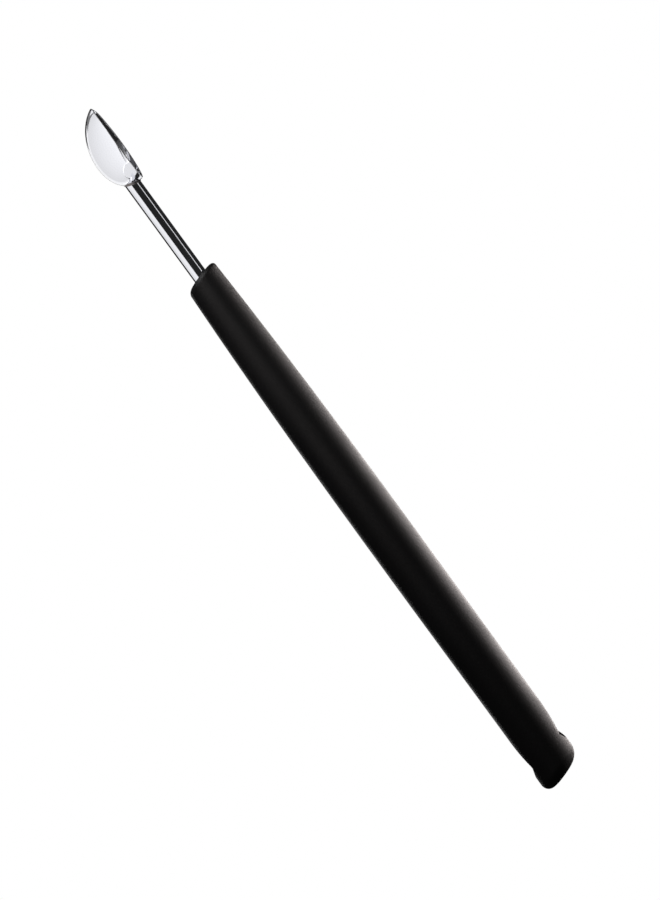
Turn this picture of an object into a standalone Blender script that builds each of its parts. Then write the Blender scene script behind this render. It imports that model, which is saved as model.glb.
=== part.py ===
"""Clay shaper tool: a pressed steel scoop on a round rod, moulded into a long oval handle.

The tool is laid out square along +X, with its axis at y = z = 0 and the scoop's tip at x = 0.
Then every piece leans by the same rake, so the handle's ends, the hanging hole and the scoop
slant together, and the tool is lowered on to z = 0 with its middle over the origin.
"""

from math import cos, pi, radians, sin, sqrt, tan

import bmesh
import bpy
from mathutils import Matrix, Vector

# Driving dimensions, in metres
LENGTH = 0.2020
RAKE = radians(17.5)  # lean of every cross cut: its upper side is nearer the tip
GAP = 0.0003  # clearance between neighbouring pieces

SCOOP_LENGTH = 0.0214
SCOOP_WIDTH = 0.0204
SCOOP_DEPTH = 0.00787
SCOOP_WALL = 0.0008
SCOOP_RIM_HEIGHT = 0.0030  # above the rod's axis

ROD_RADIUS = 0.0020
TANG_LENGTH = 0.060  # inside the handle
EAR_HALF_WIDTH = 0.0029
EAR_HALF_THICKNESS = 0.0013
EAR_POSITION = 0.034  # behind the handle's front face
EAR_LENGTH = 0.009

WELD_RADIUS = 0.0024
WELD_THICKNESS = 0.0006

HANDLE_FRONT = 0.0490  # from the scoop's tip
HANDLE_HALF_HEIGHT = 0.00616  # at its fullest
HANDLE_FRONT_HALF_HEIGHT = 0.0048
HANDLE_TAIL_DROP = 0.00013  # from the fullest section to the tail
HANDLE_FULLEST = 0.135  # from the scoop's tip
OVAL = 1.2  # half width over half height
FRONT_ROUNDING = 0.0013
TAIL_ROUNDING = 0.0031
SKIN_WALL = 0.0016

DISH_START = 0.1835
DISH_DEEPEST = 0.1940
DISH_DEPTH = 0.0016
DISH_STEP = 0.0020
DISH_CURVE = 0.008  # radius across the dish
HOLE_RADIUS = 0.0015
HOLE_POSITION = 0.1943

RING_POINTS = 40
ROD_POINTS = 28
SCOOP_STEPS = 48
SCOOP_ARC_POINTS = 9

STEEL = (0.62, 0.63, 0.65)
WELD_STEEL = (0.20, 0.20, 0.21)
CORE_GREY = (0.16, 0.16, 0.17)
GRIP_BLACK = (0.012, 0.012, 0.013)


def clear_scene():
    for item in list(bpy.data.objects):
        bpy.data.objects.remove(item, do_unlink=True)


def new_collection(name):
    collection = bpy.data.collections.new(name)
    bpy.context.scene.collection.children.link(collection)
    return collection


def principled(name, colour, roughness, metallic):
    material = bpy.data.materials.new(name)
    material.use_nodes = True
    shader = material.node_tree.nodes["Principled BSDF"]
    shader.inputs["Base Color"].default_value = (*colour, 1.0)
    shader.inputs["Roughness"].default_value = roughness
    shader.inputs["Metallic"].default_value = metallic
    return material


def add_object(name, mesh, collection):
    item = bpy.data.objects.new(name, mesh)
    collection.objects.link(item)
    return item


def as_cutter(item):
    item.hide_render = True
    item.display_type = "WIRE"
    return item


def smoothstep(value):
    value = min(max(value, 0.0), 1.0)
    return value * value * (3 - 2 * value)


# Section rules. Each returns the ring of points of one cross section at x.


def oval_ring(x, half_width, half_height, points):
    steps = (2 * pi * i / points for i in range(points))
    return [Vector((x, half_width * cos(a), half_height * sin(a))) for a in steps]


def handle_half_height(x):
    """Half height of the square-ended handle, before its ends are rounded."""
    if x < HANDLE_FULLEST:
        rest = (HANDLE_FULLEST - x) / (HANDLE_FULLEST - HANDLE_FRONT)
        swell = HANDLE_HALF_HEIGHT - HANDLE_FRONT_HALF_HEIGHT
        return HANDLE_HALF_HEIGHT - swell * rest**2.5
    taper = smoothstep((x - HANDLE_FULLEST) / (DISH_START - HANDLE_FULLEST))
    return HANDLE_HALF_HEIGHT - HANDLE_TAIL_DROP * taper


def rounding_drop(distance, radius):
    """How far an edge of this radius has fallen at a distance from the end face."""
    if distance >= radius:
        return 0.0
    return radius - sqrt(radius**2 - (radius - distance) ** 2)


def dish_depth(x):
    """Depth of the dished hollow on the handle's centre line: a long arc, then a steep step."""
    if x <= DISH_START:
        return 0.0
    if x <= DISH_DEEPEST:
        return DISH_DEPTH * ((x - DISH_START) / (DISH_DEEPEST - DISH_START)) ** 2
    return DISH_DEPTH * (1 - smoothstep((x - DISH_DEEPEST) / DISH_STEP))


def grip_ring(x):
    """Section of the outer handle: an oval, hollowed above and below where the dishes are."""
    drop = rounding_drop(x - HANDLE_FRONT, FRONT_ROUNDING) + rounding_drop(LENGTH - x, TAIL_ROUNDING)
    half_height = handle_half_height(x) - drop
    ring = oval_ring(x, handle_half_height(x) * OVAL - drop, half_height, RING_POINTS)
    depth = dish_depth(x)
    if depth > 0:
        for point in ring:
            limit = half_height - depth + point.y**2 / (2 * DISH_CURVE)
            point.z = max(-limit, min(limit, point.z))
    return ring


def inner_ring(x, inset):
    """Section of the handle's core, or of the cavity round it."""
    half_height = handle_half_height(x) - SKIN_WALL - inset
    return oval_ring(x, half_height * OVAL, half_height, RING_POINTS)


def rod_ring(x, swell=0.0):
    """Section of the rod, round but for the flattened ears inside the handle."""
    ear_start = HANDLE_FRONT + EAR_POSITION
    slope = EAR_LENGTH / 4
    flat = smoothstep((x - ear_start) / slope) * smoothstep((ear_start + EAR_LENGTH - x) / slope)
    half_width = ROD_RADIUS + flat * (EAR_HALF_WIDTH - ROD_RADIUS)
    half_height = ROD_RADIUS + flat * (EAR_HALF_THICKNESS - ROD_RADIUS)
    return oval_ring(x, half_width + swell, half_height + swell, ROD_POINTS)


# Stations along x


def between(start, end, count):
    return [start + (end - start) * i / count for i in range(count + 1)]


def rounded_stations(face, radius, direction, count=4):
    """Stations of a rounded end, from the face inwards, closer together near the face."""
    steps = (radius * (1 - cos(pi / 2 * i / count)) for i in range(count + 1))
    return [face + direction * step for step in steps]


def grip_stations():
    front = rounded_stations(HANDLE_FRONT, FRONT_ROUNDING, 1)
    middle = between(front[-1], DISH_START, 14)[1:-1]
    dish = between(DISH_START, DISH_DEEPEST, 7)
    step = between(DISH_DEEPEST, DISH_DEEPEST + DISH_STEP, 5)[1:]
    tail = rounded_stations(LENGTH, TAIL_ROUNDING, -1)[::-1]
    return front + middle + dish + step + tail


def rod_stations(start, end):
    ear_start = HANDLE_FRONT + EAR_POSITION
    return [start, *between(ear_start, ear_start + EAR_LENGTH, 10), end]


# Solids


def loft(name, rings, collection):
    """A closed solid through a row of rings, capped at both ends."""
    shape = bmesh.new()
    rows = [[shape.verts.new(point) for point in ring] for ring in rings]
    count = len(rows[0])
    for low, high in zip(rows, rows[1:]):
        for i in range(count):
            j = (i + 1) % count
            shape.faces.new((low[i], low[j], high[j], high[i]))
    shape.faces.new(rows[0][::-1])
    shape.faces.new(rows[-1])
    bmesh.ops.recalc_face_normals(shape, faces=shape.faces)
    mesh = bpy.data.meshes.new(name)
    shape.to_mesh(mesh)
    shape.free()
    return add_object(name, mesh, collection)


def boolean(item, cutter, operation="DIFFERENCE"):
    modifier = item.modifiers.new(f"{operation} {cutter.name}".lower(), "BOOLEAN")
    modifier.operation = operation
    modifier.object = cutter
    modifier.solver = "EXACT"


def scoop_profile():
    """Half section of the scoop, from the inside's lowest point over the rim and down outside."""
    half_width = SCOOP_WIDTH / 2
    angles = [pi / 2 * i / SCOOP_ARC_POINTS for i in range(SCOOP_ARC_POINTS + 1)]
    inner_radius, inner_depth = half_width - SCOOP_WALL, SCOOP_DEPTH - SCOOP_WALL
    inside = [(inner_radius * sin(a), -inner_depth * cos(a)) for a in angles]
    outside = [(half_width * sin(a), -SCOOP_DEPTH * cos(a)) for a in reversed(angles)]
    bevel = SCOOP_WALL / 4
    inside[-1] = (inner_radius, -bevel)
    outside[0] = (half_width, -bevel)
    rim = [(inner_radius + bevel, 0.0), (half_width - bevel, 0.0)]
    inside[0] = (0.0, inside[0][1])
    outside[-1] = (0.0, outside[-1][1])
    return inside + rim + outside


def scoop_centre():
    return Vector((SCOOP_LENGTH / 2, 0, SCOOP_RIM_HEIGHT))


def make_scoop(collection):
    """The profile turned about z, then drawn out a little along the tool."""
    profile = scoop_profile()
    mesh = bpy.data.meshes.new("scoop_profile")
    edges = [(i, i + 1) for i in range(len(profile) - 1)]
    mesh.from_pydata([(x, 0, z) for x, z in profile], edges, [])
    turned = add_object("scoop_profile", mesh, collection)
    screw = turned.modifiers.new("turn", "SCREW")
    screw.axis = "Z"
    screw.steps = screw.render_steps = SCOOP_STEPS
    screw.use_merge_vertices = True
    screw.merge_threshold = 0.000001
    stretch = Matrix.Diagonal((SCOOP_LENGTH / SCOOP_WIDTH, 1, 1, 1))
    scoop = baked(turned, "scoop_bowl", collection)
    scoop.data.transform(Matrix.Translation(scoop_centre()) @ stretch)
    return scoop


def scoop_swollen(name, swell, collection):
    """The scoop's full outer ellipsoid, enlarged, as the cutter for what butts on to it."""
    shape = bmesh.new()
    bmesh.ops.create_uvsphere(shape, u_segments=SCOOP_STEPS, v_segments=24, radius=1.0)
    sizes = (SCOOP_LENGTH / 2 + swell, SCOOP_WIDTH / 2 + swell, SCOOP_DEPTH + swell, 1)
    shape.transform(Matrix.Translation(scoop_centre()) @ Matrix.Diagonal(sizes))
    mesh = bpy.data.meshes.new(name)
    shape.to_mesh(mesh)
    shape.free()
    return as_cutter(add_object(name, mesh, collection))


def make_weld(collection, cutters):
    """A thin saddle of filler between the back of the scoop and the rod's end."""
    start, end = SCOOP_LENGTH * 0.75, SCOOP_LENGTH + 0.004
    rings = [oval_ring(x, WELD_RADIUS, WELD_RADIUS, ROD_POINTS) for x in (start, end)]
    weld = loft("scoop_weld", rings, collection)
    boolean(weld, scoop_swollen("weld_inner_cutter", GAP, cutters))
    boolean(weld, scoop_swollen("weld_outer_cutter", GAP + WELD_THICKNESS, cutters), "INTERSECT")
    return weld


def make_rod(collection, cutters):
    end = HANDLE_FRONT + TANG_LENGTH
    stations = rod_stations(SCOOP_LENGTH * 0.75, end - 0.001)
    tip = oval_ring(end, ROD_RADIUS * 0.6, ROD_RADIUS * 0.6, ROD_POINTS)
    rod = loft("shank_rod", [rod_ring(x) for x in stations] + [tip], collection)
    boolean(rod, scoop_swollen("rod_end_cutter", 2 * GAP + WELD_THICKNESS, cutters))
    return rod


def rod_cutter(name, collection):
    """The space that the rod and its ears need inside the handle, open at the front."""
    stations = rod_stations(HANDLE_FRONT - 0.002, HANDLE_FRONT + TANG_LENGTH + GAP)
    return as_cutter(loft(name, [rod_ring(x, GAP) for x in stations], collection))


def core_ends():
    return HANDLE_FRONT + SKIN_WALL + GAP, DISH_START - SKIN_WALL


def make_core(collection, cutters):
    start, end = core_ends()
    core = loft("handle_core", [inner_ring(x, GAP) for x in between(start, end, 10)], collection)
    boolean(core, rod_cutter("core_rod_cutter", cutters))
    return core


def make_grip(collection, cutters):
    grip = loft("grip_skin", [grip_ring(x) for x in grip_stations()], collection)
    start, end = core_ends()
    cavity = [inner_ring(x, 0) for x in between(start - GAP, end + GAP, 10)]
    boolean(grip, as_cutter(loft("cavity_cutter", cavity, cutters)))
    stations = (HANDLE_FRONT - 0.002, HANDLE_FRONT + SKIN_WALL + 0.001)
    bore = [oval_ring(x, ROD_RADIUS + GAP, ROD_RADIUS + GAP, ROD_POINTS) for x in stations]
    boolean(grip, as_cutter(loft("rod_hole_cutter", bore, cutters)))
    boolean(grip, hole_cutter(cutters))
    return grip


def hole_cutter(collection):
    shape = bmesh.new()
    bmesh.ops.create_cone(
        shape, cap_ends=True, segments=24, radius1=HOLE_RADIUS, radius2=HOLE_RADIUS, depth=0.02
    )
    shape.transform(Matrix.Translation((HOLE_POSITION, 0, 0)))
    mesh = bpy.data.meshes.new("hole_cutter")
    shape.to_mesh(mesh)
    shape.free()
    return as_cutter(add_object("hole_cutter", mesh, collection))


def baked(item, name, collection):
    """The evaluated shape of an object as a plain mesh object, in place of the original."""
    graph = bpy.context.evaluated_depsgraph_get()
    mesh = bpy.data.meshes.new_from_object(item.evaluated_get(graph))
    bpy.data.objects.remove(item, do_unlink=True)
    mesh.name = name
    return add_object(name, mesh, collection)


def finish_piece(item, colour, roughness, metallic):
    item.data.materials.clear()
    item.data.materials.append(principled(f"{item.name}_material", colour, roughness, metallic))
    item.data.shade_smooth()
    item.data.set_sharp_from_angle(angle=radians(35))


def lean_and_settle(pieces):
    """Lean every piece by the rake, then stand the tool on z = 0 with its middle over the origin."""
    lean = Matrix.Identity(4)
    lean[0][2] = -tan(RAKE)
    for piece in pieces:
        piece.data.transform(lean)
    points = [vertex.co for piece in pieces for vertex in piece.data.vertices]
    low = Vector(min(point[i] for point in points) for i in range(3))
    high = Vector(max(point[i] for point in points) for i in range(3))
    middle = (low + high) / 2
    for piece in pieces:
        piece.data.transform(Matrix.Translation((-middle.x, -middle.y, -low.z)))


def main():
    clear_scene()
    tool = new_collection("clay_shaper_tool")
    cutters = new_collection("cutters")
    scoop = make_scoop(tool)
    weld, rod = make_weld(tool, cutters), make_rod(tool, cutters)
    core, grip = make_core(tool, cutters), make_grip(tool, cutters)
    bpy.context.view_layer.update()
    weld, rod = baked(weld, "scoop_weld", tool), baked(rod, "shank_rod", tool)
    core, grip = baked(core, "handle_core", tool), baked(grip, "grip_skin", tool)
    finish_piece(scoop, STEEL, 0.12, 1.0)
    finish_piece(weld, WELD_STEEL, 0.35, 1.0)
    finish_piece(rod, STEEL, 0.14, 1.0)
    finish_piece(core, CORE_GREY, 0.5, 0.0)
    finish_piece(grip, GRIP_BLACK, 0.5, 0.0)
    lean_and_settle([scoop, weld, rod, core, grip])


main()
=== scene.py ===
"""Looks of the clay shaper tool: polished scoop and rod, heat-tinted weld and fine-grained black grip.

Every piece is laid out square along +X from the scoop's tip, with the tool's axis at y = z = 0,
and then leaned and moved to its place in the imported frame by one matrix.
"""

from math import asin, cos, pi, radians, sin, sqrt, tan

import bpy
from mathutils import Matrix, Vector


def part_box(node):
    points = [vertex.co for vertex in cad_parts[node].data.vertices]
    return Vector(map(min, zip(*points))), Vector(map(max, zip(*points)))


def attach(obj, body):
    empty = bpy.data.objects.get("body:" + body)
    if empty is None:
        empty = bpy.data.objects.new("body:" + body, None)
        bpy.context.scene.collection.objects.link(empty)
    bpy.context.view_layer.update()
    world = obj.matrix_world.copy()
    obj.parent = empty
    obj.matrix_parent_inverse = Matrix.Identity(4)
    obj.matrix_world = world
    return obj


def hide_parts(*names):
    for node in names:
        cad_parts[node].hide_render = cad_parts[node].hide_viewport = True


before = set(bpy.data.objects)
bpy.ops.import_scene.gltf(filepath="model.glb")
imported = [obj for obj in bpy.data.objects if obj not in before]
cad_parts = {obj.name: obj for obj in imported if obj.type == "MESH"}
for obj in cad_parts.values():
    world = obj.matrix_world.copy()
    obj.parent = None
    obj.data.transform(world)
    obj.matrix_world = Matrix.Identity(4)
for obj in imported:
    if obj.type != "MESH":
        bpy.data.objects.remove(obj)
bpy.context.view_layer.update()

# Sizes of the square layout, in metres
LENGTH = 0.2020
RAKE = radians(17.5)  # lean of every cross cut: its upper side is nearer the tip
GAP = 0.0003  # between the core and the cavity's end

SCOOP_LENGTH = 0.0214
SCOOP_WALL = 0.0008
RIM_EDGE = 0.00010  # height of the rim's rounding
GROUND_BAND = 0.00030  # how far below the rim's top its ground finish reaches
GROUND_FULL = 0.00012
TIP_DIP = 0.0004  # how far the rim rounds down at the tip
TIP_REACH = 0.0020
RIM_ARCH = 0.0003  # how far the rim rises half way along
ARCH_REACH = 0.0060  # how far down the wall that rise is felt
SCOOP_POINTS = 192  # round each ring

ROD_RADIUS = 0.0020
ROD_OVERRUN = 0.0028  # how far the rod runs forwards of the scoop's back before it is coped
TANG_LENGTH = 0.060  # inside the handle
TANG_CHAMFER = 0.001
TANG_TIP_RADIUS = 0.0012
EAR_HALF_WIDTH = 0.0029
EAR_HALF_THICKNESS = 0.0013
EAR_POSITION = 0.034  # behind the handle's front face
EAR_LENGTH = 0.009
ROD_POINTS = 96

WELD_REACH = 0.0006  # along the rod
WELD_RADIUS = 0.00215
WELD_SINK = 0.0002  # into the scoop's back
WELD_INSET = 0.0001  # of its last ring, under the rod's surface
WELD_BULGE = 0.00008
WELD_RIPPLE = 0.00004
WELD_RIPPLES = 11
WELD_POINTS = 96
WELD_STEPS = 14

HANDLE_FRONT = 0.0490  # from the scoop's tip
HANDLE_FULLEST = 0.135  # from the scoop's tip
HANDLE_FRONT_HALF_HEIGHT = 0.0048
HANDLE_TAIL_DROP = 0.00013  # from the fullest section to the tail
FRONT_ROUNDING = 0.0013
TAIL_ROUNDING = 0.0031
SKIN_WALL = 0.0016
GRIP_POINTS = 192

DISH_START = 0.1835
DISH_DEEPEST = 0.1958
DISH_DEPTH = 0.0016
DISH_STEP = 0.0012  # length of the dish's end wall
DISH_CURVE = 0.008  # radius across the dish
DISH_BLEND = 0.0004  # how far the dish's floor runs round into its end wall
DISH_END_RADIUS = 0.0040  # of the end wall, seen from above
DISH_END_REACH = 0.0042  # how far from the middle the rings follow that curve
HOLE_POSITION = 0.1943
HOLE_RADIUS = 0.0015
HOLE_LIP = 0.0004  # rounding of the hole's edge
DRILL_LENGTH = 0.02

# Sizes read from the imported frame
GRIP_LOW, GRIP_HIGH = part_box("grip_skin")
SCOOP_LOW, SCOOP_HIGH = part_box("scoop_bowl")
HANDLE_HALF_HEIGHT = (GRIP_HIGH.z - GRIP_LOW.z) / 2
OVAL = (GRIP_HIGH.y - GRIP_LOW.y) / (GRIP_HIGH.z - GRIP_LOW.z)
AXIS_HEIGHT = (GRIP_HIGH.z + GRIP_LOW.z) / 2
SCOOP_WIDTH = SCOOP_HIGH.y - SCOOP_LOW.y
SCOOP_DEPTH = SCOOP_HIGH.z - SCOOP_LOW.z
SCOOP_RIM_HEIGHT = SCOOP_HIGH.z - AXIS_HEIGHT
TIP_X = SCOOP_LOW.x + tan(RAKE) * (SCOOP_RIM_HEIGHT - SCOOP_WALL / 4)


def leaned_place():
    """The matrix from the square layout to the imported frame."""
    lean = Matrix.Identity(4)
    lean[0][2] = -tan(RAKE)
    return Matrix.Translation((TIP_X, 0, AXIS_HEIGHT)) @ lean


LEANED_PLACE = leaned_place()


def rim_arch(share):
    """How far the rim rises at a share of the scoop's length, as a number or as a Value."""
    return share * (1 - share) * (4 * RIM_ARCH)


# Node trees written as expressions


class Value:
    """A socket that takes part in plain arithmetic, adding Math nodes to its tree."""

    def __init__(self, nodes, socket):
        self.nodes, self.socket = nodes, socket

    def __add__(self, other):
        return self.nodes.maths("ADD", self, other)

    __radd__ = __add__

    def __sub__(self, other):
        return self.nodes.maths("SUBTRACT", self, other)

    def __rsub__(self, other):
        return self.nodes.maths("SUBTRACT", other, self)

    def __mul__(self, other):
        return self.nodes.maths("MULTIPLY", self, other)

    __rmul__ = __mul__

    def __truediv__(self, other):
        return self.nodes.maths("DIVIDE", self, other)

    def __rtruediv__(self, other):
        return self.nodes.maths("DIVIDE", other, self)

    def __pow__(self, other):
        return self.nodes.maths("POWER", self, other)


class Nodes:
    """Builds one node tree, for a material or for geometry."""

    def __init__(self, tree):
        self.tree = tree

    def add(self, kind, inputs=None, output=0, **settings):
        """One node: its settings first, then its sockets. Returns the chosen output as a Value."""
        node = self.tree.nodes.new(kind)
        for name, setting in settings.items():
            setattr(node, name, setting)
        for name, value in (inputs or {}).items():
            self.feed(node.inputs[name], value)
        return Value(self, node.outputs[output]) if len(node.outputs) else node

    def feed(self, socket, value):
        if isinstance(value, Value):
            self.tree.links.new(value.socket, socket)
        else:
            socket.default_value = value

    def maths(self, operation, *values):
        return self.add("ShaderNodeMath", dict(enumerate(values)), operation=operation)

    def ramp(self, value, low, high):
        """0 at low and 1 at high, held outside them, with soft ends."""
        inputs = {"Value": value, "From Min": low, "From Max": high}
        return self.add("ShaderNodeMapRange", inputs, interpolation_type="SMOOTHSTEP")

    def mix(self, factor, first, second):
        """A colour between two colours."""
        inputs = {0: factor, 6: first, 7: second}
        return self.add("ShaderNodeMix", inputs, output=2, data_type="RGBA")


class Finish(Nodes):
    """A material's nodes: a Principled shader fed by patterns on Object coordinates."""

    def __init__(self, name):
        self.material = bpy.data.materials.new(name)
        self.material.use_nodes = True
        super().__init__(self.material.node_tree)
        self.shader = self.tree.nodes["Principled BSDF"]
        self.place = self.add("ShaderNodeTexCoord", output="Object")

    def noise(self, scale, detail, roughness=0.5):
        """Even noise, with scale in lumps to the metre."""
        inputs = {"Vector": self.place, "Scale": scale, "Detail": detail, "Roughness": roughness}
        return self.add("ShaderNodeTexNoise", inputs)

    def drawn_noise(self, scales, detail):
        """Noise drawn out into lines, with a scale for each axis."""
        drawn = self.add("ShaderNodeVectorMath", {0: self.place, 1: scales}, operation="MULTIPLY")
        return self.add("ShaderNodeTexNoise", {"Vector": drawn, "Scale": 1.0, "Detail": detail})

    def cells(self, scale):
        """Distance from the nearest of the points scattered at scale to the metre."""
        return self.add("ShaderNodeTexVoronoi", {"Vector": self.place, "Scale": scale})

    def axis(self, name):
        return self.add("ShaderNodeSeparateXYZ", {0: self.place}, output=name)

    def bump(self, height, distance, strength=1.0, under=None):
        inputs = {"Height": height, "Distance": distance, "Strength": strength}
        if under:
            inputs["Normal"] = under
        return self.add("ShaderNodeBump", inputs)

    def apply(self, **sockets):
        """Feeds the shader's sockets, with _ for a space in their names."""
        for name, value in sockets.items():
            self.feed(self.shader.inputs[name.replace("_", " ")], value)
        return self.material


def grey(level, blue=0.0):
    """A grey, with a little more blue where blue is given."""
    return (level, level + blue / 8, level + blue, 1.0)


# Finishes


def polished_steel(name, along, rim_height=None):
    """Mirror-polished stainless: buffing lines along the piece, faint ripple, finger haze and, on the
    scoop, a rim that is ground and not polished."""
    steel = Finish(name)
    lines = steel.drawn_noise(along, 4.0)
    ripple = steel.noise(260.0, 2.0)
    haze = steel.ramp(steel.noise(90.0, 4.0), 0.45, 0.75)
    specks = steel.ramp(steel.cells(1400.0), 0.10, 0.03)
    roughness = 0.05 + 0.04 * lines + 0.04 * haze + 0.10 * specks
    tone = steel.mix(haze * 0.5 + lines * 0.3, grey(0.84, 0.045), grey(0.78, 0.045))
    lines_bump = steel.bump(lines, 0.0000003)
    surface = steel.bump(ripple, 0.000003, under=lines_bump)
    if rim_height is not None:
        share = (steel.axis("X") - SCOOP_LOW.x) / SCOOP_LENGTH
        below_rim = rim_height + rim_arch(share) - steel.axis("Z")
        ground = steel.ramp(below_rim, GROUND_BAND, GROUND_FULL)
        grind = steel.drawn_noise((900.0, 900.0, 24000.0), 3.0)
        roughness = roughness + ground * (0.26 + 0.15 * grind)
        tone = steel.mix(ground, tone, grey(0.92, 0.02))
    return steel.apply(Base_Color=tone, Metallic=1.0, Roughness=roughness, Normal=surface)


def heat_tinted_weld():
    """Brazed filler: fine runs and pits, darkened by heat with a trace of straw and blue."""
    weld = Finish("heat_tinted_weld")
    runs = weld.noise(1800.0, 4.0)
    pits = weld.ramp(weld.cells(3200.0), 0.22, 0.08)
    tint = weld.ramp(weld.noise(700.0, 2.0), 0.4, 0.65)
    tone = weld.mix(tint, (0.190, 0.168, 0.160, 1.0), (0.130, 0.125, 0.135, 1.0))
    tone = weld.mix(pits * 0.8, tone, grey(0.05))
    surface = weld.bump(runs - 0.6 * pits, 0.00005)
    roughness = 0.30 + 0.25 * runs
    return weld.apply(Base_Color=tone, Metallic=1.0, Roughness=roughness, Normal=surface)


def black_grip():
    """Black moulding with a fine spark-eroded grain and slight wear where it is held."""
    grip = Finish("black_grip")
    grain = grip.noise(5200.0, 3.0, roughness=0.6)
    pores = grip.ramp(grip.cells(3600.0), 0.05, 0.45)
    flow = grip.drawn_noise((60.0, 320.0, 320.0), 3.0)
    handled = grip.ramp(grip.noise(45.0, 2.0), 0.42, 0.62)
    dark, worn = (0.0030, 0.0029, 0.0032, 1.0), (0.012, 0.011, 0.0125, 1.0)
    tone = grip.mix(flow * 0.6 + grain * 0.4, dark, worn)
    roughness = 0.50 + 0.14 * grain - 0.06 * handled
    surface = grip.bump(grain + 0.7 * pores, 0.000030, 0.8)
    return grip.apply(Base_Color=tone, Roughness=roughness, Normal=surface)


def core_moulding():
    """Hard grey nylon with faint flow lines and grain."""
    core = Finish("core_moulding")
    flow = core.drawn_noise((80.0, 500.0, 500.0), 3.0)
    grain = core.noise(3000.0, 2.0)
    tone = core.mix(flow, grey(0.13), grey(0.19, 0.01))
    surface = core.bump(grain, 0.00002)
    return core.apply(Base_Color=tone, Roughness=0.45 + 0.15 * grain, Normal=surface)


# Profiles: a row for each ring, of its place along the axis, its half height and half width, the
# depth of its dish, 1 on the outer skin, and how far it bends forwards with the square of y

ROW_KEYS = ("along", "half_height", "half_width", "dish", "outside", "bend")


def row(along, half_height, half_width, dish=0.0, outside=0.0, bend=0.0):
    return along, half_height, half_width, dish, outside, bend


def smoothstep(value):
    value = min(max(value, 0.0), 1.0)
    return value * value * (3 - 2 * value)


def between(start, end, count):
    return [start + (end - start) * i / count for i in range(count + 1)]


def handle_half_height(x):
    if x < HANDLE_FULLEST:
        rest = (HANDLE_FULLEST - x) / (HANDLE_FULLEST - HANDLE_FRONT)
        swell = HANDLE_HALF_HEIGHT - HANDLE_FRONT_HALF_HEIGHT
        return HANDLE_HALF_HEIGHT - swell * rest**2.5
    taper = smoothstep((x - HANDLE_FULLEST) / (DISH_START - HANDLE_FULLEST))
    return HANDLE_HALF_HEIGHT - HANDLE_TAIL_DROP * taper


def dish_depth(x):
    """A floor that falls away to the deepest place, and then an end wall."""
    floor = DISH_DEPTH * (max(x - DISH_START, 0.0) / (DISH_DEEPEST - DISH_START)) ** 2
    wall = DISH_DEPTH * (1 - smoothstep((x - DISH_DEEPEST) / DISH_STEP))
    nearness = max(1 - abs(floor - wall) / DISH_BLEND, 0.0)
    return min(floor, wall) - nearness**2 * DISH_BLEND / 4


def dish_bend(x):
    """How much a ring curves round the hole. Rings at the tail and forwards of the dish are flat."""
    wall_end = DISH_DEEPEST + DISH_STEP
    tail = LENGTH - TAIL_ROUNDING
    rise = smoothstep((x - DISH_START) / (HOLE_POSITION - HOLE_RADIUS - DISH_START))
    fall = smoothstep((tail - x) / (tail - wall_end))
    return rise * fall / (2 * DISH_END_RADIUS)


def grip_profile():
    """From the tail's middle forwards over the outside, in at the rod, and back along the cavity."""
    rings = []

    def ring(x, drop=0.0):
        half_height, half_width = handle_half_height(x) - drop, handle_half_height(x) * OVAL - drop
        rings.append(row(x, half_height, half_width, dish_depth(x), 1.0, dish_bend(x)))

    tail_height = handle_half_height(LENGTH) - TAIL_ROUNDING
    tail_width = handle_half_height(LENGTH) * OVAL - TAIL_ROUNDING
    for share in (0.0, 0.12, 0.3, 0.5, 0.7, 0.88):
        rings.append(row(LENGTH, tail_height * share, tail_width * share, outside=1.0))
    for i in range(15):
        angle = pi / 2 * i / 14
        ring(LENGTH - TAIL_ROUNDING * (1 - cos(angle)), TAIL_ROUNDING * (1 - sin(angle)))
    step_end = DISH_DEEPEST + DISH_STEP
    lip_start = HOLE_POSITION - HOLE_RADIUS - HOLE_LIP
    stations = (LENGTH - TAIL_ROUNDING, step_end, lip_start, DISH_START, HANDLE_FRONT + FRONT_ROUNDING)
    for start, end, count in zip(stations, stations[1:], (6, 36, 40, 110)):
        for x in between(start, end, count)[1:]:
            ring(x)
    for i in range(1, 11):
        angle = pi / 2 * i / 10
        ring(HANDLE_FRONT + FRONT_ROUNDING * (1 - sin(angle)), FRONT_ROUNDING * (1 - cos(angle)))
    face_height, face_width = rings[-1][1], rings[-1][2]
    for share in between(0.0, 1.0, 4)[1:]:
        half_height = face_height + (ROD_RADIUS - face_height) * share
        half_width = face_width + (ROD_RADIUS - face_width) * share
        rings.append(row(HANDLE_FRONT, half_height, half_width))
    wall_end, cavity_end = HANDLE_FRONT + SKIN_WALL, DISH_START - SKIN_WALL + GAP
    rings.append(row(wall_end, ROD_RADIUS, ROD_RADIUS))
    for x in between(wall_end, cavity_end, 30):
        half_height = handle_half_height(x) - SKIN_WALL
        rings.append(row(x, half_height, half_height * OVAL))
    rings.append(row(cavity_end, 0.0, 0.0))
    return rings


def rod_profile():
    """From inside the scoop's back along the shank and its flattened ears to the tang's tip."""
    start, end = SCOOP_LENGTH - ROD_OVERRUN, HANDLE_FRONT + TANG_LENGTH
    ear_start = HANDLE_FRONT + EAR_POSITION
    slope = EAR_LENGTH / 4
    rings = [row(start, 0.0, 0.0)]
    ear_stations = between(ear_start, ear_start + EAR_LENGTH, 36)
    for x in between(start, ear_start, 24)[:-1] + ear_stations + [end - TANG_CHAMFER]:
        flat = smoothstep((x - ear_start) / slope)
        flat *= smoothstep((ear_start + EAR_LENGTH - x) / slope)
        half_height = ROD_RADIUS + flat * (EAR_HALF_THICKNESS - ROD_RADIUS)
        half_width = ROD_RADIUS + flat * (EAR_HALF_WIDTH - ROD_RADIUS)
        rings.append(row(x, half_height, half_width))
    return rings + [row(end, TANG_TIP_RADIUS, TANG_TIP_RADIUS), row(end, 0.0, 0.0)]


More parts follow.
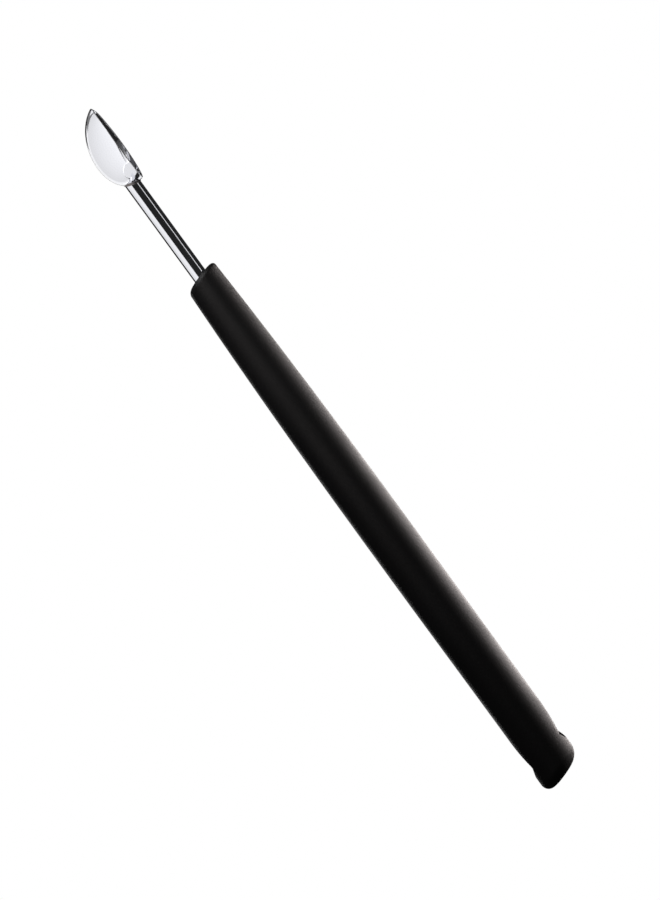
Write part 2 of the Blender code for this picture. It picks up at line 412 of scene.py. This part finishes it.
def scoop_profile():
    """Rings up the inside from its lowest point, over the ground rim and down the outside.

    The axis is the scoop's own upright, with half height along the tool and half width across."""
    longer = SCOOP_LENGTH / SCOOP_WIDTH
    outer, inner = SCOOP_WIDTH / 2, SCOOP_WIDTH / 2 - SCOOP_WALL
    inner_depth = SCOOP_DEPTH - SCOOP_WALL
    edge = asin(RIM_EDGE / SCOOP_DEPTH)
    middle, half = (outer + inner) / 2, (outer - inner) / 2
    points = []
    for angle in between(0.0, pi / 2 - edge, 64):
        points.append((-inner_depth * cos(angle), inner * sin(angle)))
    for angle in between(0.0, pi, 10):
        points.append((RIM_EDGE * (sin(angle) - 1), middle - half * cos(angle)))
    for angle in between(pi / 2 - edge, 0.0, 72)[1:]:
        points.append((-SCOOP_DEPTH * cos(angle), outer * sin(angle)))
    return [row(z, radius * longer, radius) for z, radius in points]


# The oval loft: one geometry tree that makes the scoop, the rod and the grip


def oval_loft_tree():
    """Turns a line of profile points into a skin of ovals, with dishes and a lip for the hole."""
    tree = bpy.data.node_groups.new("oval_loft", "GeometryNodeTree")
    sockets = tree.interface
    sockets.new_socket("Geometry", in_out="INPUT", socket_type="NodeSocketGeometry")
    for name, kind in (("Rings", "Int"), ("Points Round", "Int"), ("Dish Curve", "Float"),
                       ("Bend Reach", "Float"), ("Hole Position", "Float"),
                       ("Hole Radius", "Float"), ("Hole Lip", "Float"), ("Finish", "Material")):
        sockets.new_socket(name, in_out="INPUT", socket_type=f"NodeSocket{kind}")
    sockets.new_socket("Geometry", in_out="OUTPUT", socket_type="NodeSocketGeometry")
    geo = Nodes(tree)
    start = tree.nodes.new("NodeGroupInput")
    given = {socket.name: Value(geo, socket) for socket in start.outputs if socket.name}

    columns = given["Points Round"] + 1
    grid = geo.add("GeometryNodeMeshGrid", {"Vertices X": given["Rings"], "Vertices Y": columns})
    index = geo.add("GeometryNodeInputIndex")
    ring = geo.maths("FLOOR", (index + 0.5) / columns)
    angle = (index - ring * columns) * (2 * pi) / given["Points Round"]

    def of_ring(name):
        """What the profile says of this ring."""
        said = geo.add("GeometryNodeInputNamedAttribute", {"Name": name}, data_type="FLOAT")
        inputs = {"Geometry": given["Geometry"], "Value": said, "Index": ring}
        return geo.add("GeometryNodeSampleIndex", inputs, data_type="FLOAT")

    along, half_height, half_width, dish, outside, bend = map(of_ring, ROW_KEYS)
    y = half_width * geo.maths("COSINE", angle)
    x = along - bend * geo.maths("MINIMUM", y * y, given["Bend Reach"] ** 2)
    round_z = half_height * geo.maths("SINE", angle)
    floor = half_height - dish + y * y / (2 * given["Dish Curve"])
    dished = geo.maths("SMOOTH_MIN", geo.maths("ABSOLUTE", round_z), floor, dish * 0.5)
    from_hole = geo.maths("SQRT", (x - given["Hole Position"]) ** 2 + y * y)
    reach = given["Hole Radius"] + given["Hole Lip"] - from_hole
    reach = geo.maths("MINIMUM", geo.maths("MAXIMUM", reach, 0.0), given["Hole Lip"])
    lip = given["Hole Lip"] - geo.maths("SQRT", given["Hole Lip"] ** 2 - reach * reach)
    z = geo.maths("SIGN", round_z) * (dished - lip * outside)
    place = geo.add("ShaderNodeCombineXYZ", {"X": x, "Y": y, "Z": z})
    skin = geo.add("GeometryNodeSetPosition", {"Geometry": grid, "Position": place})
    skin = geo.add("GeometryNodeMergeByDistance", {"Geometry": skin, "Distance": 0.0000005})
    skin = geo.add("GeometryNodeRealizeInstances", {"Geometry": skin})
    skin = geo.add("GeometryNodeSetMaterial", {"Geometry": skin, "Material": given["Finish"]})
    geo.add("NodeGroupOutput", {"Geometry": skin})
    return tree


def oval_loft(name, profile, finish, points_round, place=Matrix.Identity(4), hole=False):
    """A piece made by the oval loft tree from a profile, as a plain mesh at its place."""
    mesh = bpy.data.meshes.new(f"{name}_profile")
    mesh.from_pydata([(ring[0], 0, 0) for ring in profile], [], [])
    for column, key in enumerate(ROW_KEYS):
        values = mesh.attributes.new(key, "FLOAT", "POINT")
        values.data.foreach_set("value", [ring[column] for ring in profile])
    guide = bpy.data.objects.new(f"{name}_profile", mesh)
    bpy.context.scene.collection.objects.link(guide)
    loft = guide.modifiers.new("oval loft", "NODES")
    loft.node_group = LOFT_TREE
    given = {
        "Rings": len(profile),
        "Points Round": points_round,
        "Dish Curve": DISH_CURVE,
        "Bend Reach": DISH_END_REACH,
        "Hole Position": HOLE_POSITION,
        "Hole Radius": HOLE_RADIUS if hole else 0.0,
        "Hole Lip": HOLE_LIP if hole else 0.0,
        "Finish": finish,
    }
    for item in LOFT_TREE.interface.items_tree:
        if item.in_out == "INPUT" and item.name in given:
            loft[item.identifier] = given[item.name]
    return plain_piece(guide, name, finish, place)


def plain_piece(guide, name, finish, place=Matrix.Identity(4)):
    """The evaluated guide as a plain smooth mesh object of one finish, in place of the guide."""
    graph = bpy.context.evaluated_depsgraph_get()
    mesh = bpy.data.meshes.new_from_object(guide.evaluated_get(graph))
    bpy.data.objects.remove(guide, do_unlink=True)
    mesh.name = name
    mesh.materials.clear()
    mesh.materials.append(finish)
    mesh.transform(place)
    mesh.shade_smooth()
    mesh.set_sharp_from_angle(angle=radians(40))
    piece = bpy.data.objects.new(name, mesh)
    bpy.context.scene.collection.objects.link(piece)
    return piece


def outwards(piece):
    """Turns the faces of a closed piece round if its volume comes out negative."""
    mesh = piece.data
    mesh.calc_loop_triangles()
    points = [vertex.co for vertex in mesh.vertices]
    volume = 0.0
    for triangle in mesh.loop_triangles:
        a, b, c = (points[i] for i in triangle.vertices)
        volume += a.dot(b.cross(c))
    if volume < 0:
        mesh.flip_normals()
    return piece


def make_scoop():
    """The pressed bowl, lofted about its own upright. Its rim rises a little half way along and is
    rounded down at the tip."""
    upright = Matrix(((0, 0, 1, SCOOP_LENGTH / 2), (0, 1, 0, 0), (1, 0, 0, SCOOP_RIM_HEIGHT),
                      (0, 0, 0, 1)))
    steel = polished_steel("scoop_polish", (700.0, 5200.0, 5200.0), SCOOP_HIGH.z)
    scoop = oval_loft("scoop", scoop_profile(), steel, SCOOP_POINTS, upright)
    for vertex in scoop.data.vertices:
        near_tip = max(1 - vertex.co.x / TIP_REACH, 0.0)
        near_rim = smoothstep(1 - (SCOOP_RIM_HEIGHT - vertex.co.z) / TIP_REACH)
        on_wall = smoothstep(1 - (SCOOP_RIM_HEIGHT - vertex.co.z) / ARCH_REACH)
        rise = rim_arch(vertex.co.x / SCOOP_LENGTH) * on_wall
        vertex.co.z += rise - TIP_DIP * near_tip**2 * near_rim
    scoop.data.transform(LEANED_PLACE)
    return outwards(scoop)


def make_rod():
    """The round rod, its front end coped to sit inside the scoop's wall."""
    steel = polished_steel("rod_polish", (160.0, 9000.0, 9000.0))
    shank = oval_loft("shank", rod_profile(), steel, ROD_POINTS)
    for vertex in shank.data.vertices:
        wall = scoop_back(vertex.co.y, vertex.co.z) - SCOOP_WALL / 2
        vertex.co.x = max(vertex.co.x, wall)
    shank.data.transform(LEANED_PLACE)
    return outwards(shank)


def scoop_back(y, z):
    """Where the back of the scoop's outside is along x, at a point of the rod's section."""
    across, down = y / (SCOOP_WIDTH / 2), (z - SCOOP_RIM_HEIGHT) / SCOOP_DEPTH
    return SCOOP_LENGTH / 2 * (1 + sqrt(max(1 - across**2 - down**2, 0.0)))


def make_weld():
    """A bead that fills the corner between the scoop's back and the rod, all the way round."""
    rows = []
    for share in between(0.0, 1.0, WELD_STEPS):
        reach = (WELD_REACH + WELD_SINK) * share - WELD_SINK
        radius = WELD_RADIUS + (ROD_RADIUS - WELD_INSET - WELD_RADIUS) * share
        rows.append((reach, radius + WELD_BULGE * sin(pi * share)))
    points = []
    for reach, radius in rows:
        for angle in between(0.0, 2 * pi, WELD_POINTS)[:-1]:
            y, z = radius * cos(angle), radius * sin(angle)
            ripple = WELD_RIPPLE * sin(WELD_RIPPLES * angle) * sin(pi * reach / WELD_REACH)
            points.append((scoop_back(y, z) + reach + ripple, y, z))
    faces = []
    for low in range(0, WELD_STEPS * WELD_POINTS, WELD_POINTS):
        high = low + WELD_POINTS
        for j in range(WELD_POINTS):
            k = (j + 1) % WELD_POINTS
            faces.append((low + j, low + k, high + k, high + j))
    faces.append(tuple(reversed(range(WELD_POINTS))))
    faces.append(tuple(range(WELD_STEPS * WELD_POINTS, len(points))))
    mesh = bpy.data.meshes.new("weld_bead")
    mesh.from_pydata(points, [], faces)
    mesh.materials.append(heat_tinted_weld())
    mesh.transform(LEANED_PLACE)
    mesh.shade_smooth()
    mesh.set_sharp_from_angle(angle=radians(50))
    bead = bpy.data.objects.new("weld_bead", mesh)
    bpy.context.scene.collection.objects.link(bead)
    return outwards(bead)


def make_grip():
    """The black outer handle, with the hanging hole cut through its dishes."""
    finish = black_grip()
    grip = oval_loft("grip", grip_profile(), finish, GRIP_POINTS, LEANED_PLACE, hole=True)
    outwards(grip)
    bpy.ops.mesh.primitive_cylinder_add(vertices=64, radius=HOLE_RADIUS, depth=DRILL_LENGTH)
    drill = bpy.context.object
    drill.data.transform(LEANED_PLACE @ Matrix.Translation((HOLE_POSITION, 0, 0)))
    cut = grip.modifiers.new("hanging hole", "BOOLEAN")
    cut.object, cut.solver = drill, "EXACT"
    drilled = plain_piece(grip, "grip", finish)
    bpy.data.objects.remove(drill, do_unlink=True)
    return drilled


# The studio

WARM = (1.0, 0.92, 0.90)
ROOM_LIGHT = 0.018  # what the white room gives the tool
FLOOR_SIZE = 6.0
FLOOR_DROP = 0.0002  # keeps the floor clear of the tool's lowest points
ROOT = (SCOOP_LOW.x + 0.025, 0, AXIS_HEIGHT)  # just behind the scoop


def camera_turn(elevation, roll):
    """Axes of a camera that looks along +Y from a little above, rolled about its line of sight."""
    right, up = Vector((1, 0, 0)), Vector((0, sin(elevation), cos(elevation)))
    rolled_right = right * cos(roll) + up * sin(roll)
    rolled_up = up * cos(roll) - right * sin(roll)
    back = rolled_right.cross(rolled_up)
    return Matrix((rolled_right, rolled_up, back)).transposed().to_4x4()


def place_camera():
    """A long lens, rolled so that the tool lies across the frame from upper left to lower right."""
    lens, sensor = 150.0, 36.0
    view_height = 0.2236
    elevation, roll = radians(3.5), radians(53.90)
    target = Vector((0.0016, 0, AXIS_HEIGHT + 0.00060))
    turn = camera_turn(elevation, roll)
    data = bpy.data.cameras.new("camera")
    data.lens, data.sensor_width = lens, sensor
    data.clip_start, data.clip_end = 0.01, 50.0
    camera = bpy.data.objects.new("camera", data)
    bpy.context.scene.collection.objects.link(camera)
    distance = view_height * lens / sensor
    back = turn.to_3x3() @ Vector((0, 0, 1))
    camera.matrix_world = Matrix.Translation(target + back * distance) @ turn
    bpy.context.scene.camera = camera


def panel(name, aim, rise, reach, brightness, lit, distance=0.35, sideways=0, tint=(1, 1, 1),
          shape="RECTANGLE"):
    """A soft box that lights only the pieces in lit, as bright all over its face.

    Its rise has its two edges, in degrees up from the camera's side as seen from what it aims at,
    and its reach has its two ends along the tool, in metres. Sideways turns all of it, in degrees."""
    angle, turn = radians(sum(rise) / 2), radians(sideways)
    away = Vector((sin(turn), -cos(angle) * cos(turn), sin(angle) * cos(turn)))
    side = Vector((cos(turn), cos(angle) * sin(turn), -sin(angle) * sin(turn)))
    left, right = reach
    width, height = right - left, 2 * distance * tan(radians(abs(rise[1] - rise[0]) / 2))
    area = width * height * (pi / 4 if shape == "DISK" else 1)
    data = bpy.data.lights.new(name, "AREA")
    data.shape, data.size, data.size_y = shape, width, height
    data.energy = brightness * pi * area
    data.color = tint
    light = bpy.data.objects.new(name, data)
    bpy.context.scene.collection.objects.link(light)
    facing = Matrix((side, away.cross(side), away)).transposed().to_4x4()
    middle = Vector(aim) + away * distance + side * (left + right) / 2
    light.matrix_world = Matrix.Translation(middle) @ facing
    receivers = bpy.data.collections.new(f"{name}_lights")
    for piece in lit:
        receivers.objects.link(piece)
    light.light_linking.receiver_collection = receivers
    return light


def light_scoop(scoop, rod):
    """Graded cards below, small ones that draw its dark inside and edges, and one beside the root that
    hides the black handle from the scoop's back."""
    edges = between(-4, -140, 10)
    for i, rise in enumerate(zip(edges, edges[1:])):
        panel(f"scoop_card_{i}", ROOT, rise, (-1.305, 0.605), 1.09 - 0.028 * i, scoop)
    for name, rise, reach, sideways, brightness in (
        ("back_card", (-140, -152), (-0.201, 0.519), 0, 1.02),
        ("left_card", (-144, -162), (-0.095, 0.095), -45, 0.20),
        ("under_card", (-152, -166), (-0.265, 0.265), 23, 1.02),
        ("far_card", (140, 178), (-0.080, 0.080), 25, 1.00),
        ("right_card", (1, 11), (-0.1415, 0.1415), 40, 0.90),
        ("corner_card", (14, 22), (-0.037, 0.037), 56, 0.90),
        ("tip_card", (-153, -170), (-0.050, 0.050), -50, 0.80),
        ("high_strip", (36, 62), (-0.180, 0.180), -5, 0.09),
        ("glint", (-2, 24), (-0.043, 0.043), -45, 0.85),
        ("side_glint", (60, 100), (-0.070, 0.070), 37, 0.75),
    ):
        panel(f"scoop_{name}", ROOT, rise, reach, brightness, scoop, sideways=sideways)
    for i, brightness in enumerate((0.28, 0.15, 0.10, 0.07, 0.05)):
        turn = 9 * i - 34
        reach = (-0.0275, 0.0275)
        panel(f"scoop_glow_{i}", ROOT, (-2, 24), reach, brightness, scoop, sideways=turn)
    beside = (ROOT[0], -0.0080, AXIS_HEIGHT + 0.0006)
    card = panel("scoop_root_card", beside, (-38.66, 38.66), (-0.016, 0.016), 0.90,
                 [*scoop, *rod], distance=0.020, sideways=90, shape="DISK")
    card.visible_camera = False


def light_rod(rod):
    """A bright front with a darker lower side, and a thin line above."""
    panel("rod_front_card", ROOT, (-25, -72), (-0.80, 0.80), 1.00, rod)
    panel("rod_low_card", ROOT, (-72, -107), (-0.80, 0.80), 0.88, rod)
    panel("rod_high_strip", ROOT, (62, 72), (-0.30, 0.30), 0.90, rod)


def light_handle(handle):
    """A warm edge along the top that fades at the front, a faint front, and an edge underneath."""
    middle = ((GRIP_LOW.x + GRIP_HIGH.x) / 2, 0, AXIS_HEIGHT)
    front = (GRIP_LOW.x - 0.010, 0, AXIS_HEIGHT)
    rear = (middle[0] + 0.045, 0, AXIS_HEIGHT)
    panel("back_light", rear, (108, 144), (-0.12, 0.12), 4.6, handle, tint=WARM)
    panel("rim_light", rear, (148, 168), (-0.12, 0.12), 6.3, handle, tint=WARM)
    panel("top_fill", middle, (60, 110), (-0.15, 0.15), 0.25, handle, tint=WARM)
    panel("front_fill", front, (-50, 14), (-0.06, 0.06), 0.50, handle, distance=0.16, tint=WARM)
    panel("front_face", front, (-50, 10), (-0.07, 0.07), 2.2, handle, distance=0.16, sideways=-62)
    panel("under_edge", middle, (-146, -168), (-0.13, 0.13), 1.7, handle)


def emptied(tree):
    tree.nodes.clear()
    return Nodes(tree)


def white_room():
    """A plain white world and floor, which the camera sees and which light the tool very little."""
    world = bpy.data.worlds.new("white_room")
    world.use_nodes = True
    nodes = emptied(world.node_tree)
    seen = nodes.add("ShaderNodeLightPath", output="Is Camera Ray")
    white = nodes.add("ShaderNodeBackground", {"Color": (1, 1, 1, 1), "Strength": 1.0})
    dim = nodes.add("ShaderNodeBackground", {"Color": (1, 1, 1, 1), "Strength": ROOM_LIGHT})
    sky = nodes.add("ShaderNodeMixShader", {0: seen, 1: dim, 2: white})
    nodes.add("ShaderNodeOutputWorld", {"Surface": sky})
    bpy.context.scene.world = world

    bpy.ops.mesh.primitive_plane_add(size=FLOOR_SIZE)
    floor = bpy.context.object
    floor.name = "floor"
    floor.location.z = -FLOOR_DROP
    paper = bpy.data.materials.new("white_floor")
    paper.use_nodes = True
    nodes = emptied(paper.node_tree)
    glow = nodes.add("ShaderNodeEmission", {"Color": (1, 1, 1, 1), "Strength": 1.0})
    nodes.add("ShaderNodeOutputMaterial", {"Surface": glow})
    floor.data.materials.append(paper)
    floor.visible_diffuse = floor.visible_glossy = floor.visible_shadow = False


LOFT_TREE = oval_loft_tree()
scoop, shank, bead, grip = make_scoop(), make_rod(), make_weld(), make_grip()
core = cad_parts["handle_core"]
core.data.materials.clear()
core.data.materials.append(core_moulding())

for piece, node, slot in (
    (scoop, "scoop_bowl", "polished_steel"),
    (shank, "shank_rod", "polished_steel"),
    (bead, "scoop_weld", "weld_steel"),
    (grip, "grip_skin", "black_grip"),
):
    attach(piece, "root")
    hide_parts(node)

place_camera()
light_scoop([scoop, bead], [shank])
light_rod([shank])
light_handle([grip])
white_room()
bpy.context.scene.view_settings.view_transform = "Standard"
